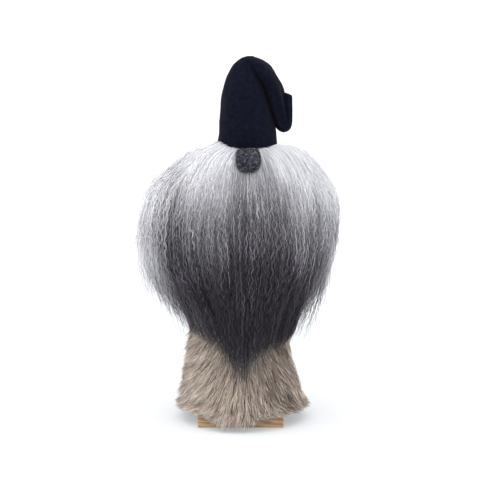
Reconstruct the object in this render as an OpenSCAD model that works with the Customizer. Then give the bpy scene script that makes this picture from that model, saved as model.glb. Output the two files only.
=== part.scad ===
// Tomte gnome figurine: a fur-coated figure with a long wool beard, a round nose and a tall
// wool hat, on a wooden board. Millimetres, +Z up, -Y is the front.
// Origin: centre of the board's underside.

/* [Base board] */
// Side of the square board
base_side = 95; // [90:1:100]
// Thickness of the board
base_thick = 15; // [13:0.5:18]
// Bevel round the board's edges
base_bevel = 1.2; // [0.5:0.1:2]

/* [Core] */
// Radius of the wooden disc that the coat is tacked round
foot_r = 47; // [44:0.5:48]
// Thickness of that disc
foot_thick = 18; // [14:1:22]
// Diameter of the post
post_d = 22; // [16:1:26]
// Radius of the head block
head_r = 26; // [25:0.5:27]
// Sideways lean of the figure, measured at the brim of the hat
head_shift = 8; // [0:0.5:8]

/* [Coat] */
// Radius over the fur at the waist
coat_r = 58; // [57:0.5:60]
// Thickness of the pelt's skin
hide_thick = 2; // [1.5:0.1:2.2]
// Number of tacks round the hem
coat_tack_count = 16; // [8:1:24]
// Pitch of the stitches down the back
stitch_pitch = 7; // [5:0.5:12]

/* [Beard] */
// Half of the beard's greatest width
beard_half_w = 113; // [100:1:120]
// How far the beard stands forward of the figure's axis
beard_depth = 88; // [84:1:95]
// Height of the beard's point above the table
beard_tip_z = 51; // [45:1:60]
// Half of the angle that the beard wraps round the head
beard_wrap = 110; // [95:1:110]

/* [Nose] */
// Radius of the felt ball
nose_r = 14; // [12:0.5:14]

/* [Hat] */
// Height of the brim above the table
brim_z = 310; // [300:1:320]
// Height of the crown above the brim
crown_h = 98; // [90:1:105]
// Outer radius of the brim
brim_r = 31.8; // [31.5:0.1:33]
// Thickness of the wool cloth
cloth_thick = 2.4; // [1.8:0.1:2.4]
// Diameter of the soft wire in the tip
wire_d = 1.6; // [1:0.1:2]

/* [Hidden] */
$fn = 64;

gap = 0.4;          // room between soft pieces that lie against each other
glue_gap = 0.05;    // radial room round the glued post
tack_head = 0.8;    // thickness of a tack's head
lean = atan(head_shift / brim_z);

foot_top = base_thick + foot_thick;
hide_foot_z = base_thick + 2;
neck_z = 0.887 * brim_z;        // groove that the neck cord lies in
neck_r = 0.475 * foot_r - 0.3;
collar_z = 0.91 * brim_z;       // the coat's hide ends here, except at the back
roots_z = brim_z + 6;           // top edge of both hides, covered by the brim
block_z0 = 0.845 * brim_z;
block_top = brim_z + 22;
post_top = 0.96 * brim_z;
cord_r = 1.5;
cord_ring_r = neck_r + hide_thick + cord_r + 1;
collar_r = head_r + 0.3;
beard_root_r = collar_r + hide_thick + tack_head + gap;
seam_w = 2;
back_tab = 126;                 // angle of the coat's tab behind the head
thread_r = 0.6;

// Inner radius of the coat's hide: [height as a fraction of the brim's, radius / foot radius]
hide_shape = [
    [0.054, 1.022], [0.12, 1.022], [0.225, 0.94], [0.39, 0.86], [0.55, 0.79],
    [0.71, 0.705], [0.805, 0.62], [0.855, 0.55], [0.887, 0.475], [0.91, 0.53]
];
// Outside of the coat's fur: [height as a fraction of the brim's, radius / waist radius]
fur_shape = [
    [0.057, 1.24], [0.09, 1.195], [0.14, 1.147], [0.20, 1.100], [0.265, 1.052], [0.33, 1.005],
    [0.48, 0.905], [0.645, 0.800], [0.775, 0.700], [0.855, 0.585], [0.905, 0.53]
];
// Beard: [height, side reach / half width, front reach / depth, wrap / full wrap]; a height
// is a fraction of the way from the point of the beard to the brim
beard_shape = [
    [0.000, 0.00, 0.765, 0.03], [0.080, 0.00, 0.79, 0.07], [0.135, 0.00, 0.82, 0.13],
    [0.175, 0.30, 0.85, 0.27], [0.188, 0.42, 0.86, 0.41], [0.200, 0.53, 0.87, 0.55],
    [0.207, 0.54, 0.875, 0.65], [0.215, 0.55, 0.88, 0.75], [0.222, 0.56, 0.885, 0.85],
    [0.230, 0.57, 0.89, 0.95],
    [0.265, 0.63, 0.92, 1.00], [0.350, 0.78, 0.97, 1.00], [0.440, 0.91, 1.00, 1.00],
    [0.510, 0.97, 1.00, 1.00], [0.580, 1.00, 1.00, 1.00], [0.640, 1.00, 0.98, 1.00],
    [0.700, 0.975, 0.94, 1.00], [0.770, 0.93, 0.85, 1.00], [0.835, 0.86, 0.73, 1.00],
    [0.886, 0.79, 0.61, 1.00], [0.897, 0.77, 0.58, 1.00], [0.910, 0.75, 0.545, 1.00],
    [0.935, 0.70, 0.47, 1.00], [0.965, 0.60, 0.41, 1.00],
    [0.990, 0.47, 0.385, 1.00], [1.000, 0.30, 0.375, 1.00]
];
// Hat cone: [fraction of the crown's height, left edge, right edge], edges / brim radius,
// from the axis of the figure
hat_shape = [
    [0.00, -1.00, 1.00], [0.20, -0.965, 0.935], [0.36, -0.925, 0.81], [0.57, -0.86, 0.63],
    [0.725, -0.73, 0.43], [0.85, -0.57, 0.20], [0.92, -0.40, 0.02], [0.97, -0.20, -0.06]
];
// Folded tip: [fraction of the crown's height, left edge, right edge, half width along Y]
tip_shape = [
    [0.265, 0.925, 1.225, 0.32], [0.345, 0.86, 1.26, 0.39], [0.45, 0.79, 1.26, 0.47],
    [0.59, 0.66, 1.23, 0.57], [0.72, 0.47, 1.045, 0.63], [0.855, 0.26, 0.795, 0.57],
    [0.92, 0.21, 0.61, 0.47], [0.965, 0.20, 0.44, 0.35]
];
// Turned-up end: the same columns
end_shape = [
    [0.22, 1.27, 1.45, 0.27], [0.36, 1.285, 1.50, 0.24], [0.50, 1.285, 1.505, 0.20],
    [0.555, 1.295, 1.49, 0.16], [0.583, 1.32, 1.43, 0.10]
];
fold_pos = [head_shift + 0.22 * brim_r, 0, brim_z + 0.911 * crown_h];
fold_r = 0.26 * brim_r;
turn_pos = [head_shift + 1.225 * brim_r, 0, brim_z + 0.2 * crown_h];
turn_r = 0.19 * brim_r;

hide_heights = [for (p = hide_shape) p[0] * brim_z];
function table(shape, column, height, size) = [for (p = shape) [p[0] * height, p[column] * size]];
function hide_in(z) = lookup(z, table(hide_shape, 1, brim_z, foot_r));
function fur_out(z) = lookup(z, table(fur_shape, 1, brim_z, coat_r));

nose_pos = [head_shift + 1, -(collar_r + hide_thick + nose_r + 0.4), brim_z - 12];

// ---- Helpers ----

// Puts children in the frame of the leaning figure
module leaning() {
    rotate([0, lean, 0]) children();
}

// Side and cap triangles of a solid whose rings have n points each, anticlockwise from above.
// A cap joins point i to point n-1-i, which suits an oval and a crescent alike.
function side_faces(rings, n, from = 0) = [
    for (k = [0 : rings - 2], i = [0 : n - 1])
        let (a = from + k * n + i, b = from + k * n + (i + 1) % n)
        each [[a, a + n, b + n], [a, b + n, b]]
];
function cap_faces(n, from) = [
    for (i = [0 : n / 2 - 2])
        let (a = from + i, b = from + i + 1, c = from + n - 2 - i, d = from + n - 1 - i)
        each [[a, b, c], [a, c, d]]
];
function flip(faces) = [for (f = faces) [f[2], f[1], f[0]]];

// Solid through a list of rings, from the lowest to the highest
module loft(rings) {
    n = len(rings[0]);
    count = len(rings);
    polyhedron(
        points = [for (r = rings) each r],
        faces = concat(
            side_faces(count, n),
            cap_faces(n, 0),
            flip(cap_faces(n, (count - 1) * n))
        )
    );
}

// Open-bottomed shell between two lists of rings that share their lowest plane
module shell_loft(outer, inner) {
    n = len(outer[0]);
    a = len(outer);
    b = len(inner);
    start = a * n;
    rim = [for (i = [0 : n - 1])
        let (j = (i + 1) % n)
        each [[i, j, start + j], [i, start + j, start + i]]];
    polyhedron(
        points = concat([for (r = outer) each r], [for (r = inner) each r]),
        faces = concat(
            side_faces(a, n),
            flip(cap_faces(n, (a - 1) * n)),
            flip(side_faces(b, n, start)),
            cap_faces(n, start + (b - 1) * n),
            rim
        )
    );
}

// Oval ring at height z between x0 and x1, reaching ry each way along Y
function oval(x0, x1, ry, z, n = 32) = [
    for (i = [0 : n - 1])
        let (t = 360 * (i + 0.5) / n)
        [(x0 + x1) / 2 + (x1 - x0) / 2 * cos(t), ry * sin(t), z]
];
// Ring i of a hat table, drawn in by inset
function hat_ring(p, inset = 0) =
    let (
        x0 = head_shift + p[1] * brim_r + inset,
        x1 = head_shift + p[2] * brim_r - inset,
        ry = len(p) > 3 ? p[3] * brim_r - inset : (x1 - x0) / 2
    )
    oval(x0, x1, ry, brim_z + p[0] * crown_h);

// A turned piece with the outline of a list of [radius, height]
module turned(outline, angle = 360) {
    rotate([0, 0, angle < 360 ? 90 - angle / 2 : 0])
        rotate_extrude(angle = angle) polygon(outline);
}

// A ring of small tacks that point at the axis, with the head's underside at radius r
module tack_ring(count, r, z, length, head_d, spread = 360, middle = 0) {
    for (i = [0 : count - 1]) {
        turn = spread == 360 ? i * 360 / count : middle - spread / 2 + i * spread / (count - 1);
        rotate([0, 0, turn]) translate([0, -r, z]) rotate([90, 0, 0]) {
            cylinder(h = tack_head, d1 = head_d, d2 = head_d * 0.6);
            translate([0, 0, -length]) cylinder(h = length, d = 1.2);
        }
    }
}

screw_r = 30;           // radius of the circle that the base screws lie on
screw_d = 4;
screw_head_d = 8;
screw_head_h = 3.2;
screw_sunk = 0.5;

module screw_places() {
    for (turn = [30 : 120 : 270]) rotate([0, 0, turn]) translate([screw_r, 0, 0]) children();
}

// ---- Base and core ----

function bevelled(a, b) = [
    [-a / 2 + base_bevel, -b / 2], [a / 2 - base_bevel, -b / 2], [a / 2, -b / 2 + base_bevel],
    [a / 2, b / 2 - base_bevel], [a / 2 - base_bevel, b / 2], [-a / 2 + base_bevel, b / 2],
    [-a / 2, b / 2 - base_bevel], [-a / 2, -b / 2 + base_bevel]
];

module bar(a, b, turn) {
    rotate(turn) linear_extrude(height = base_side, center = true) polygon(bevelled(a, b));
}

module base_board() {
    color("burlywood") difference() {
        translate([0, 0, base_thick / 2]) intersection() {
            bar(base_side, base_side, [0, 0, 0]);
            bar(base_side, base_thick, [90, 0, 0]);
            bar(base_thick, base_side, [0, 90, 0]);
        }
        screw_places() {
            translate([0, 0, -1]) cylinder(h = base_thick + 2, d = screw_d + 0.4);
            cylinder(h = screw_sunk + screw_head_h, d1 = screw_head_d + 1.4, d2 = screw_d + 0.4);
        }
    }
}

module base_screws() {
    color("silver") screw_places() {
        translate([0, 0, screw_sunk]) {
            cylinder(h = screw_head_h, d1 = screw_head_d, d2 = screw_d);
            cylinder(h = foot_top - 6, d = screw_d);
        }
    }
}

module foot_disc() {
    color("tan") difference() {
        translate([0, 0, base_thick]) cylinder(h = foot_thick, r = foot_r);
        leaning() cylinder(h = foot_top + 10, d = post_d + 2 * glue_gap);
    }
}

module core_post() {
    color("wheat") leaning()
        translate([0, 0, base_thick + 0.5]) cylinder(h = post_top - base_thick - 0.5, d = post_d);
}

module head_block() {
    color("tan") leaning() difference() {
        turned([
            [0, block_z0], [neck_r - 2, block_z0], [neck_r, neck_z - 4], [neck_r, neck_z + 4],
            [head_r, collar_z + 2], [head_r, roots_z + 2], [head_r * 0.8, block_top - 6],
            [head_r * 0.4, block_top], [0, block_top]
        ]);
        translate([0, 0, block_z0 - 1])
            cylinder(h = post_top - block_z0 + 1.2, d = post_d + 2 * glue_gap);
    }
}

module body_wadding() {
    inside = [for (z = hide_heights) if (z > foot_top && z < block_z0 - 1) [hide_in(z) - gap, z]];
    top = block_z0 - gap;
    color("ivory") leaning() turned(concat(
        [[post_d / 2 + gap, foot_top + 2], [hide_in(foot_top + 2) - gap, foot_top + 2]],
        inside,
        [[hide_in(top) - gap, top], [post_d / 2 + gap, top]]
    ));
}

// ---- Coat ----

function hide_side(out) = [for (z = hide_heights) [hide_in(z) + out, z]];
function backwards(list) = [for (i = [len(list) - 1 : -1 : 0]) list[i]];

module coat_hide() {
    color("bisque") leaning() difference() {
        union() {
            turned(concat(hide_side(hide_thick), backwards(hide_side(0))));
            turned([
                [collar_r, collar_z - 1.5], [collar_r + hide_thick, collar_z - 1.5],
                [collar_r + hide_thick, roots_z], [collar_r, roots_z]
            ], back_tab);
        }
        translate([-seam_w / 2, 0, 0]) cube([seam_w, foot_r + 20, roots_z + 10]);
    }
}

module coat_seam_thread() {
    color("saddlebrown") leaning()
        for (z = [hide_foot_z + 4 : stitch_pitch : neck_z - 6])
            translate([0, hide_in(z) + hide_thick / 2, z]) rotate([0, 90, 0])
                cylinder(h = seam_w, r = thread_r, center = true);
}

module coat_tacks() {
    color("gray") tack_ring(coat_tack_count, hide_in(hide_foot_z) + hide_thick,
        hide_foot_z + 7, 11, 5);
}

module coat_fur() {
    heights = [for (p = fur_shape) p[0] * brim_z];
    outside = [for (z = heights) [fur_out(z), z]];
    inside = [for (z = hide_heights) if (z > heights[0] && z < neck_z - 8)
        [hide_in(z) + hide_thick + tack_room(z), z]];
    top = heights[len(heights) - 1];
    cord_out = cord_ring_r + cord_r + gap;
    color("rosybrown") leaning() {
        turned(concat(
            [[hide_in(heights[0]) + hide_thick + tack_room(heights[0]), heights[0]]],
            outside,
            [[cord_out, top], [cord_out, neck_z - 3]],
            backwards(inside)
        ));
        turned([
            [collar_r + hide_thick + gap, top - 0.5], [fur_out(top), top - 0.5],
            [fur_out(top) + 2, brim_z - 3 * gap], [collar_r + hide_thick + gap, brim_z - 3 * gap]
        ], back_tab);
    }
}
function tack_room(z) = z < foot_top + 5 ? 2.3 : gap;

module neck_cord() {
    color("sienna") leaning() translate([0, 0, neck_z])
        rotate_extrude() translate([cord_ring_r, 0]) circle(r = cord_r);
}

// ---- Beard and nose ----

module beard_hide() {
    color("bisque") leaning() rotate([0, 0, 180]) turned([
        [collar_r, collar_z + 2], [collar_r + hide_thick, collar_z + 2],
        [collar_r + hide_thick, roots_z], [collar_r, roots_z]
    ], 2 * beard_wrap);
}

module beard_tacks() {
    color("gray") leaning()
        tack_ring(9, collar_r + hide_thick, collar_z + 6, 10, 4, 2 * beard_wrap - 30);
}

// Rounds the beard off towards its two back edges
function beard_end(t, wrap) =
    let (past = max(0, (abs(t) / wrap - 0.82) / 0.18))
    sqrt(max(0, 1 - past * past));

// Ring of the beard: the outer line from one side round the front to the other, and back along
// the inner line, which clears the coat and the head
function beard_ring(p, n = 22) =
    let (
        z = beard_tip_z + p[0] * (brim_z - gap - beard_tip_z),
        wrap = p[3] * beard_wrap,
        axis = z * tan(lean),
        shift = axis * (1 - p[1]),
        inner = z < collar_z + 2 ? fur_out(z) + 3 * gap : beard_root_r,
        thinnest = inner + 1.5 + axis - shift
    )
    concat(
        [for (i = [0 : n - 1])
            let (
                t = -wrap + 2 * wrap * i / (n - 1),
                full = norm([p[1] * beard_half_w * sin(t), p[2] * beard_depth * cos(t)]),
                r = thinnest + max(0, full - thinnest) * beard_end(t, wrap)
            )
            [shift + r * sin(t), -r * cos(t), z]],
        [for (i = [n - 1 : -1 : 0])
            let (t = -wrap + 2 * wrap * i / (n - 1))
            [axis + inner * sin(t), -inner * cos(t), z]]
    );

module beard_wool() {
    color("lightgray") difference() {
        loft([for (p = beard_shape) beard_ring(p)]);
        translate(nose_pos) sphere(r = nose_r + gap);
    }
}

module nose_ball() {
    color("dimgray") translate(nose_pos) sphere(r = nose_r);
}

module nose_thread() {
    color("black") for (side = [-1, 1])
        translate(nose_pos + [side * 3, nose_r - 6, 0]) rotate([-90, 0, 0])
            cylinder(h = 6 + gap + hide_thick, r = thread_r);
}

// ---- Hat ----

module hat_cone() {
    inner = [for (p = hat_shape) if (p[0] < 0.9) hat_ring(p, cloth_thick)];
    color("midnightblue") difference() {
        shell_loft([for (p = hat_shape) hat_ring(p)], inner);
        translate(fold_pos) rotate([90, 0, 0])
            cylinder(h = 3 * brim_r, r = fold_r + gap, center = true);
    }
}

module hat_seam_thread() {
    color("black")
        for (p = hat_shape) if (p[0] > 0 && p[0] < 0.8) {
            x = head_shift + (p[1] + p[2]) / 2 * brim_r;
            y = (p[2] - p[1]) / 2 * brim_r;
            translate([x, y + thread_r, brim_z + p[0] * crown_h]) rotate([0, 90, 0])
                cylinder(h = 5, r = thread_r, center = true);
        }
}

module hat_wadding() {
    fill = [for (p = hat_shape) if (p[0] > 0.3 && p[0] < 0.8) hat_ring(p, cloth_thick + gap)];
    color("ivory") loft(fill);
}

module hat_pins() {
    color("gray") translate([head_shift, 0, 0])
        tack_ring(4, brim_r, brim_z + 3, 8, 3.5, 270);
}

module hat_tip() {
    color("midnightblue") difference() {
        union() {
            loft([for (p = tip_shape) hat_ring(p)]);
            translate(fold_pos) rotate([90, 0, 0])
                cylinder(h = 0.8 * brim_r, r = fold_r, center = true);
        }
        translate(turn_pos) rotate([90, 0, 0])
            cylinder(h = 3 * brim_r, r = turn_r + gap, center = true);
    }
}

module hat_tip_end() {
    color("midnightblue") union() {
        loft([for (p = end_shape) hat_ring(p)]);
        translate(turn_pos) rotate([90, 0, 0])
            cylinder(h = 0.54 * brim_r, r = turn_r, center = true);
    }
}

module wire_between(a, b) {
    d = b - a;
    translate(a) rotate([0, acos(d[2] / norm(d)), atan2(d[1], d[0])])
        cylinder(h = norm(d), d = wire_d);
}

module tip_wire() {
    color("gray") wire_between(fold_pos, turn_pos + [-2, 0, turn_r + 4]);
}

module end_wire() {
    color("gray") wire_between(turn_pos + [3, 0, 0], turn_pos + [6, 0, 0.32 * crown_h]);
}

base_board();
base_screws();
foot_disc();
core_post();
head_block();
body_wadding();
coat_hide();
coat_seam_thread();
coat_tacks();
coat_fur();
neck_cord();
beard_hide();
beard_tacks();
beard_wool();
nose_ball();
nose_thread();
hat_cone();
hat_seam_thread();
hat_wadding();
hat_pins();
hat_tip();
tip_wire();
hat_tip_end();
end_wire();
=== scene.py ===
"""Looks of the tomte gnome figurine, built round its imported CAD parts.

Shapes are worked out in millimetres, with +Z up and -Y the front, and scaled to metres where a
mesh is made. An angle round the figure is 0 at the front and grows towards +X.
"""
import math

import bpy
import numpy as np
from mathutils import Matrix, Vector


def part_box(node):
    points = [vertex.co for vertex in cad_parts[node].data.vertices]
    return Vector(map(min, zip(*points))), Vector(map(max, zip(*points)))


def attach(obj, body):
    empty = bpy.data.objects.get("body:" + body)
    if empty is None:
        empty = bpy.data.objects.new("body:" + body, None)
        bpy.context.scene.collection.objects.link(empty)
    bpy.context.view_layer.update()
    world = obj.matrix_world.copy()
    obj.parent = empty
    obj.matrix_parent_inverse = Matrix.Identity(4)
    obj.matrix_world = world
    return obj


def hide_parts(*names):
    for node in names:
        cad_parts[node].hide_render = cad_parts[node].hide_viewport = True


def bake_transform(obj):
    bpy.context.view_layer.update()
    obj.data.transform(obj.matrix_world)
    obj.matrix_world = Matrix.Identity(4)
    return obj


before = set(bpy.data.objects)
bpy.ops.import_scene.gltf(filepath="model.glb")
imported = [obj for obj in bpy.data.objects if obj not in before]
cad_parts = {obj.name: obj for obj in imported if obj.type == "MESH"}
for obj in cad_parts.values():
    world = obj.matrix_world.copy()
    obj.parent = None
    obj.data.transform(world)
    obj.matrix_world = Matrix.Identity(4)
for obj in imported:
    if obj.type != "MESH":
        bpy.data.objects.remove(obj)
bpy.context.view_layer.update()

MM = 0.001
BODY, TIP, END = "figure", "hat_tip", "hat_tip_end"
BAKE_UV = "OFBake"
HAIR_UV_WIDTH = 0.012       # across a hair, so that its faces have some area in the uv
MOST_TRIANGLES = 180000     # of one piece, so that the export keeps them all


# ---- Sizes read from the CAD ----

def box_mm(node):
    low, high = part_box(node)
    return np.array(low) / MM, np.array(high) / MM


hat_low, hat_high = box_mm("hat_cone")
BRIM_Z = hat_low[2]
BRIM_R = (hat_high[0] - hat_low[0]) / 2
HEAD_X = (hat_high[0] + hat_low[0]) / 2
LEAN = HEAD_X / BRIM_Z
beard_low, beard_high = box_mm("beard_wool")
HALF_W = (beard_high[0] - beard_low[0]) / 2
DEPTH = -beard_low[1]
nose_low, nose_high = box_mm("nose_ball")
NOSE = (nose_low + nose_high) / 2
NOSE_R = (nose_high[2] - nose_low[2]) / 2


# ---- Helpers: numbers ----

def lerp(a, b, t):
    return a + (b - a) * t


def smooth(low, high, x):
    t = np.clip((x - low) / (high - low), 0, 1)
    return t * t * (3 - 2 * t)


def bump(x, middle, width):
    """A smooth bump of height 1 at middle."""
    return np.exp(-((x - middle) / width) ** 2)


def unit(v):
    return v / np.maximum(np.linalg.norm(v, axis=-1, keepdims=True), 1e-9)


def read(table, x, column=1):
    """A column of a table at x, by its first column, which grows."""
    return np.interp(x, table[:, 0], table[:, column])


def smooth_table(rows, per_row=24, passes=3):
    """Columns of rows as functions of the row number, with their corners rounded."""
    rows = np.array(rows, float)
    at = np.linspace(0, len(rows) - 1, (len(rows) - 1) * per_row + 1)
    columns = []
    width = per_row // 2 * 2 + 1            # of the running mean, in points
    for column in rows.T:
        line = np.interp(at, np.arange(len(rows)), column)
        for _ in range(passes):
            start = 2 * line[0] - line[width // 2:0:-1]
            end = 2 * line[-1] - line[-2:-width // 2 - 1:-1]
            padded = np.concatenate([start, line, end])
            line = np.convolve(padded, np.ones(width) / width, "valid")
        columns.append(line)
    return lambda k: [np.interp(k, at, line) for line in columns]


def waves(points, size, seed, count=9):
    """Smooth noise from about -1 to 1 at points, with features of that size."""
    rng = np.random.default_rng(seed)
    total = np.zeros(points.shape[:-1])
    for _ in range(count):
        direction = unit(rng.normal(size=points.shape[-1])) * rng.uniform(0.6, 1.5)
        total += np.sin(points @ direction * (2 * math.pi / size) + rng.uniform(0, 2 * math.pi))
    return total / math.sqrt(count / 2) / 1.6


# ---- Helpers: meshes ----

def make_mesh(name, points, faces, body, node, paint, uv=None):
    """A piece from points in mm and an array of faces, which stands for a CAD node. Body and node
    may be None; a blended piece rides on no single body."""
    mesh = bpy.data.meshes.new(name)
    mesh.vertices.add(len(points))
    mesh.vertices.foreach_set("co", (np.asarray(points) * MM).astype(np.float32).ravel())
    sides = faces.shape[1]
    mesh.loops.add(faces.size)
    mesh.loops.foreach_set("vertex_index", faces.astype(np.int32).ravel())
    mesh.polygons.add(len(faces))
    mesh.polygons.foreach_set("loop_start", np.arange(0, faces.size, sides, dtype=np.int32))
    mesh.polygons.foreach_set("use_smooth", np.ones(len(faces), bool))
    if uv is not None:
        layer = mesh.uv_layers.new(name=BAKE_UV)
        layer.data.foreach_set("uv", uv[faces.ravel()].astype(np.float32).ravel())
    mesh.update(calc_edges=True)
    piece = bpy.data.objects.new(name, mesh)
    bpy.context.scene.collection.objects.link(piece)
    mesh.materials.append(paint)
    if node:
        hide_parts(node)
    if body:
        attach(piece, body)
    return piece


def grid_faces(rows, columns, closed=True):
    """Quads between the rings of a grid, with ring points anticlockwise from above."""
    r, c = np.meshgrid(np.arange(rows - 1), np.arange(columns if closed else columns - 1),
                       indexing="ij")
    a = r * columns + c
    b = r * columns + (c + 1) % columns
    return np.stack([a, b, b + columns, a + columns], -1).reshape(-1, 4)


def closed_rings(rings):
    """Points and triangles of the closed surface through rings (k, n, 3), capped by a middle
    point at each end."""
    count, n, _ = rings.shape
    quads = grid_faces(count, n)
    faces = np.concatenate([quads[:, [0, 1, 2]], quads[:, [0, 2, 3]]])
    points = np.concatenate([rings.reshape(-1, 3), [rings[0].mean(0)], [rings[-1].mean(0)]])
    i = np.arange(n)
    j = (i + 1) % n
    first, last = count * n, count * n + 1
    start = (count - 1) * n
    caps = np.concatenate([np.stack([j, i, np.full(n, first)], -1),
                           np.stack([start + i, start + j, np.full(n, last)], -1)])
    return points, np.concatenate([faces, caps])


def distance_along(paths):
    """Distance of the points of paths (n, d, 3) from their first points."""
    steps = np.linalg.norm(np.diff(paths, axis=1), axis=2)
    return np.concatenate([np.zeros((len(paths), 1)), np.cumsum(steps, 1)], 1)


def resample(paths, count):
    """Paths (n, d, 3) with count points each, evenly spaced along them."""
    length = distance_along(paths)
    out = np.empty((len(paths), count, 3))
    for i, path in enumerate(paths):
        at = np.linspace(0, length[i, -1], count)
        for axis in range(3):
            out[i, :, axis] = np.interp(at, length[i], path[:, axis])
    return out


def tubes(paths, radius, u, v, facing):
    """Three-sided hairs that end in a point: paths (n, m, 3), radius (n, m), u (n), v (n, m) and
    a direction facing (n, m, 3) that one corner looks along. Returns points, triangles and uv,
    where u carries a hair's tone and v the shade along it."""
    n, m, _ = paths.shape
    along = unit(np.gradient(paths, axis=1))
    side = unit(np.cross(along, facing))
    out = np.cross(side, along)
    rings = []
    for k in range(3):
        turn = 2 * math.pi * k / 3
        rings.append(paths + radius[..., None] * (math.cos(turn) * out + math.sin(turn) * side))
    rings = np.stack(rings, 2)[:, :-1]                          # n, m-1, 3 corners, xyz
    each = 3 * (m - 1) + 1
    points = np.concatenate([rings.reshape(n, -1, 3), paths[:, -1:]], 1)
    uu = np.repeat(u[:, None], m - 1, 1)[..., None] + np.array([0, 0.5, 1]) * HAIR_UV_WIDTH
    vv = np.repeat(v[:, :-1, None], 3, 2)
    uv = np.concatenate([np.stack([uu, vv], -1).reshape(n, -1, 2),
                         np.stack([u + HAIR_UV_WIDTH / 2, v[:, -1]], -1)[:, None]], 1)
    pattern = []
    for s in range(m - 2):
        for k in range(3):
            a, b = 3 * s + k, 3 * s + (k + 1) % 3
            pattern += [[a, b, b + 3], [a, b + 3, a + 3]]
    last = 3 * (m - 2)
    pattern += [[last, last + 1, each - 1], [last + 1, last + 2, each - 1],
                [last + 2, last, each - 1], [0, 2, 1]]
    faces = np.array(pattern)[None] + (np.arange(n) * each)[:, None, None]
    return points.reshape(-1, 3), faces.reshape(-1, 3), np.clip(uv, 0.002, 0.998).reshape(-1, 2)


def hair_pieces(name, paths, radius, u, v, facing, node, slot, paint, order):
    """Hairs as pieces small enough to export, split in the given order."""
    n, m, _ = paths.shape
    triangles = (m - 2) * 6 + 4             # of one hair: its sides, its point and its root
    parts = math.ceil(n / (MOST_TRIANGLES // triangles))
    for part, chosen in enumerate(np.array_split(np.argsort(order), parts)):
        made = tubes(paths[chosen], radius[chosen], u[chosen], v[chosen], facing[chosen])
        label = name if parts == 1 else f"{name}_{part + 1}"
        make_mesh(label, made[0], made[1], BODY, node, paint, made[2])


def taper(m, full_to=0.7):
    """Share of a hair's full thickness along its m points."""
    t = np.linspace(0, 1, m)
    return lerp(0.75, 1, smooth(0, 0.12, t)) * (1 - 0.8 * smooth(full_to, 1, t))


# ---- Materials ----

def add_node(tree, kind, props=None, **inputs):
    """A shader node with these properties, and inputs given by name, or as i and a number."""
    made = tree.nodes.new("ShaderNode" + kind)
    for key, value in (props or {}).items():
        setattr(made, key, value)
    for key, value in inputs.items():
        numbered = key[0] == "i" and key[1:].isdigit()
        socket = made.inputs[int(key[1:]) if numbered else key.replace("_", " ")]
        if isinstance(value, bpy.types.NodeSocket):
            tree.links.new(value, socket)
        else:
            socket.default_value = value
    return made


def ramp(tree, fac, stops):
    """Colour ramp through (position, grey or colour) stops."""
    made = add_node(tree, "ValToRGB", Fac=fac)
    elements = made.color_ramp.elements
    for i, (position, colour) in enumerate(stops):
        element = elements[i] if i < 2 else elements.new(position)
        element.position = position
        rgb = (colour,) * 3 if isinstance(colour, (int, float)) else colour
        element.color = (*rgb, 1)
    return made.outputs["Color"]


def srgb(*rgb):
    """Linear colour of an 8-bit screen colour."""
    return tuple((c / 255 / 12.92) if c < 10.3 else ((c / 255 + 0.055) / 1.055) ** 2.4
                 for c in rgb)


def new_material(name, **shader):
    """A material whose shader has these fixed values, with its node tree and shader."""
    made = bpy.data.materials.new(name)
    made.use_nodes = True
    tree = made.node_tree
    principled = tree.nodes["Principled BSDF"]
    for key, value in shader.items():
        principled.inputs[key.replace("_", " ")].default_value = value
    return made, tree, principled


def plug(tree, principled, colour, rough=None, height=None, depth=0.001, strength=1.0):
    """Link a colour, and if given a roughness and a height for a bump, to the shader."""
    tree.links.new(colour, principled.inputs["Base Color"])
    if rough is not None:
        tree.links.new(rough, principled.inputs["Roughness"])
    if height is not None:
        relief = add_node(tree, "Bump", Height=height, Distance=depth, Strength=strength)
        tree.links.new(relief.outputs["Normal"], principled.inputs["Normal"])


def mix(tree, kind, a, b, fac):
    """Two colours or greys blended."""
    made = add_node(tree, "Mix", {"data_type": "RGBA", "blend_type": kind}, i0=fac, i6=a, i7=b)
    return made.outputs[2]


def hair_material(name, dark, light, tones, rough, **shader):
    """Colour from a hair's own coordinates: its shade picks a place on the ramp of the darkest
    hairs and on that of the lightest, and its tone mixes the two."""
    made, tree, principled = new_material(name, Roughness=rough, **shader)
    place = add_node(tree, "UVMap", {"uv_map": BAKE_UV}).outputs["UV"]
    parts = add_node(tree, "SeparateXYZ", Vector=place)
    low = ramp(tree, parts.outputs["Y"], dark)
    high = ramp(tree, parts.outputs["Y"], light)
    plug(tree, principled, mix(tree, "MIX", low, high, ramp(tree, parts.outputs["X"], tones)))
    return made


def own_space(tree, stretch):
    """The piece's own coordinates, multiplied by stretch."""
    place = add_node(tree, "TexCoord").outputs["Object"]
    return add_node(tree, "Mapping", Vector=place, Scale=tuple(stretch)).outputs["Vector"]


def spots(tree, scale, detail=4.0, stretch=(1, 1, 1)):
    """Noise in the piece's own space, in cycles a metre."""
    return add_node(tree, "TexNoise", Vector=own_space(tree, stretch), Scale=scale,
                    Detail=detail).outputs["Fac"]


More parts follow.
